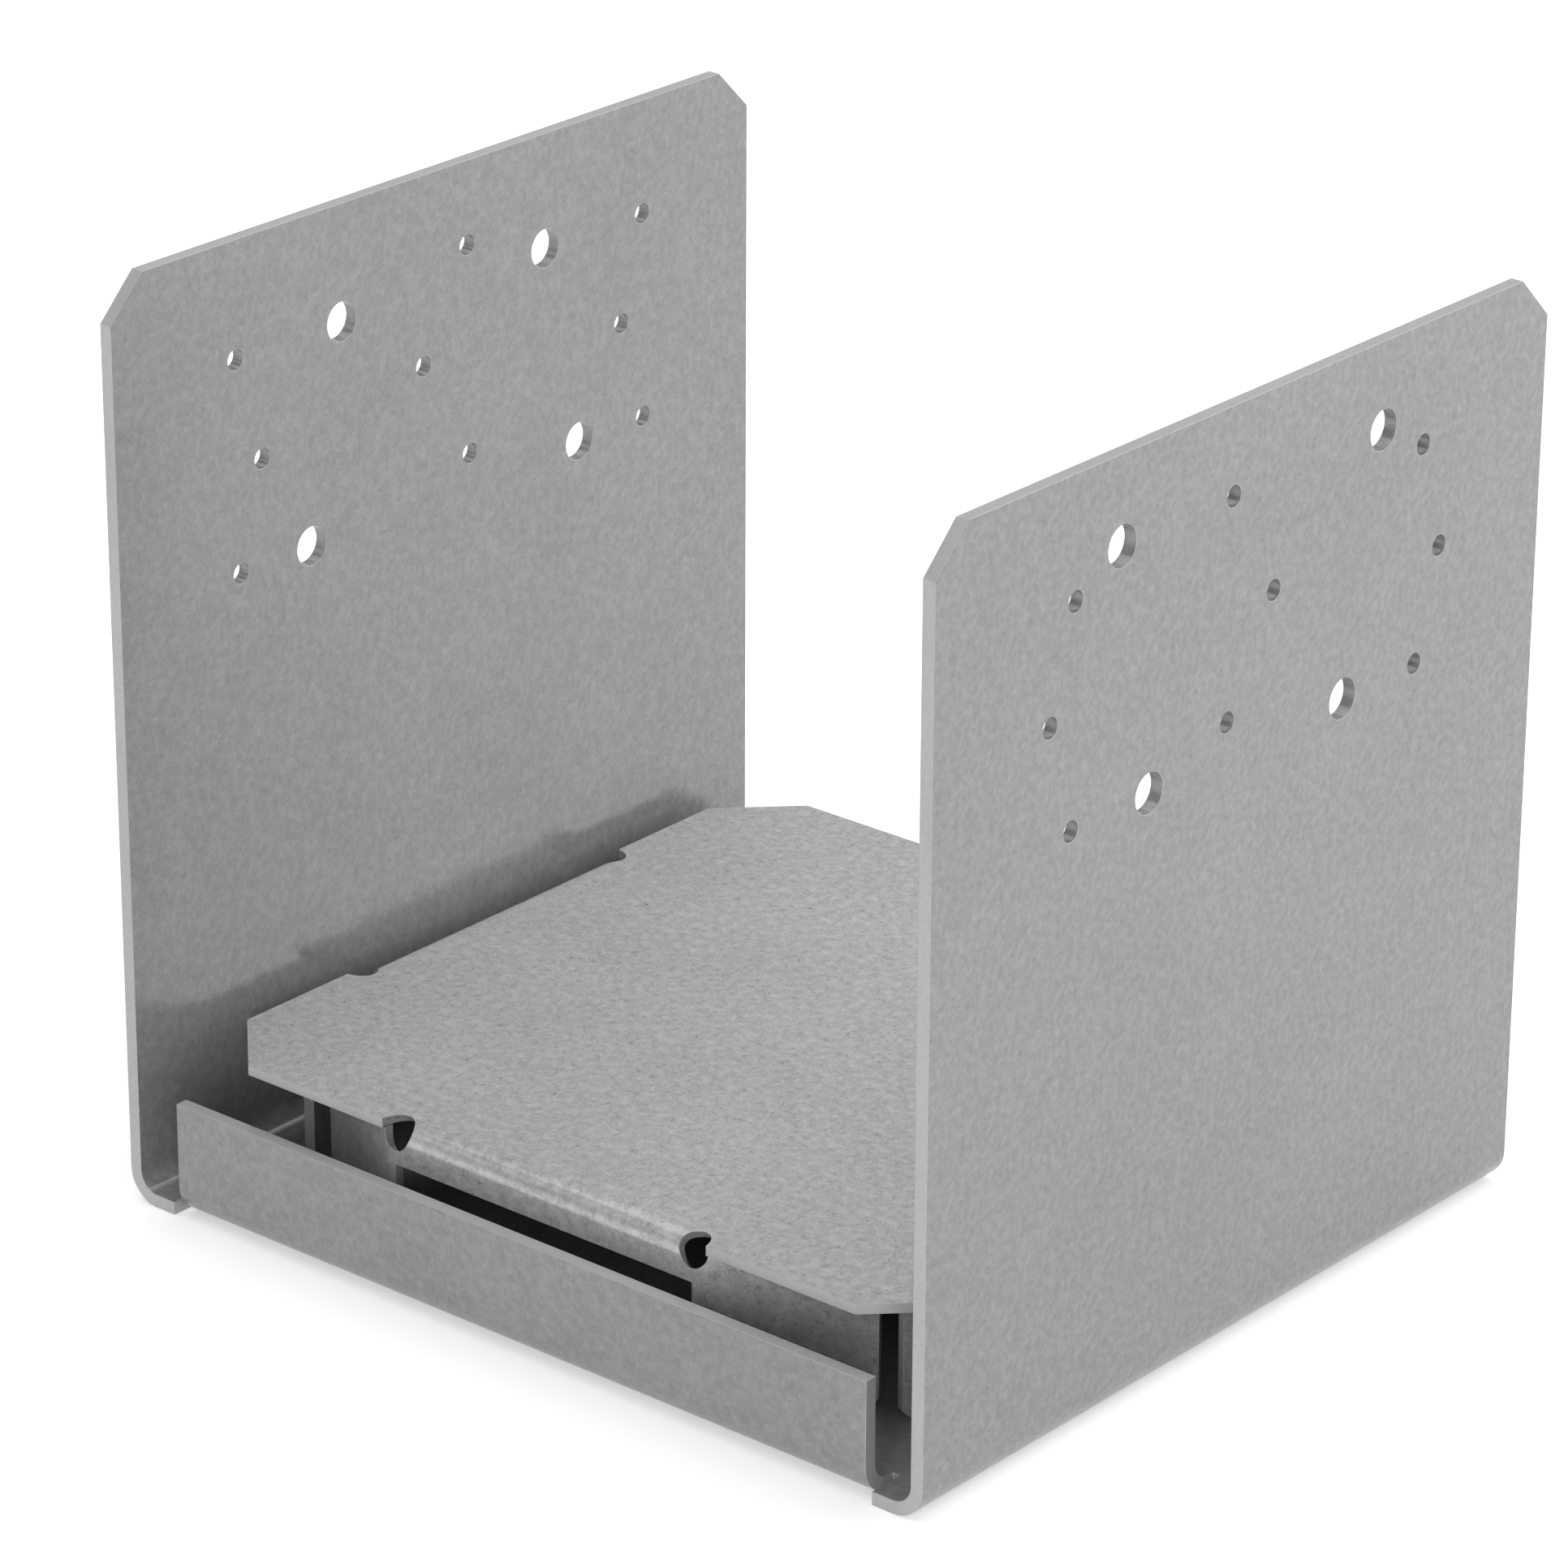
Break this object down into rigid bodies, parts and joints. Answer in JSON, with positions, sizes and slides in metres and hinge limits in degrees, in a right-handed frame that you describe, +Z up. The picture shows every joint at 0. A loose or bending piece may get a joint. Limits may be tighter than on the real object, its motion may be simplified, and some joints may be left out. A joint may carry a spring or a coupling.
{
  "type": "timber post base",
  "caption": "Folded steel post base: a strap with tall nailing side plates and low lips, and a loose standoff seat on folded legs.",
  "frame": {"origin": "middle of the strap's underside, where it meets the concrete", "axes": "+X from the left side plate to the right one, +Y from the front lip to the back lip, +Z up along the post"},
  "size_m": [0.1958, 0.1778, 0.186],
  "materials": {
    "galvanised_strap": "satin zinc coating with a faint fine mottle",
    "galvanised_base": "satin zinc coating with a coarser, paler mottle"
  },
  "bodies": {
    "root": {"strap": "galvanised_strap", "standoff_base": "galvanised_base"}
  },
  "joints": []
}
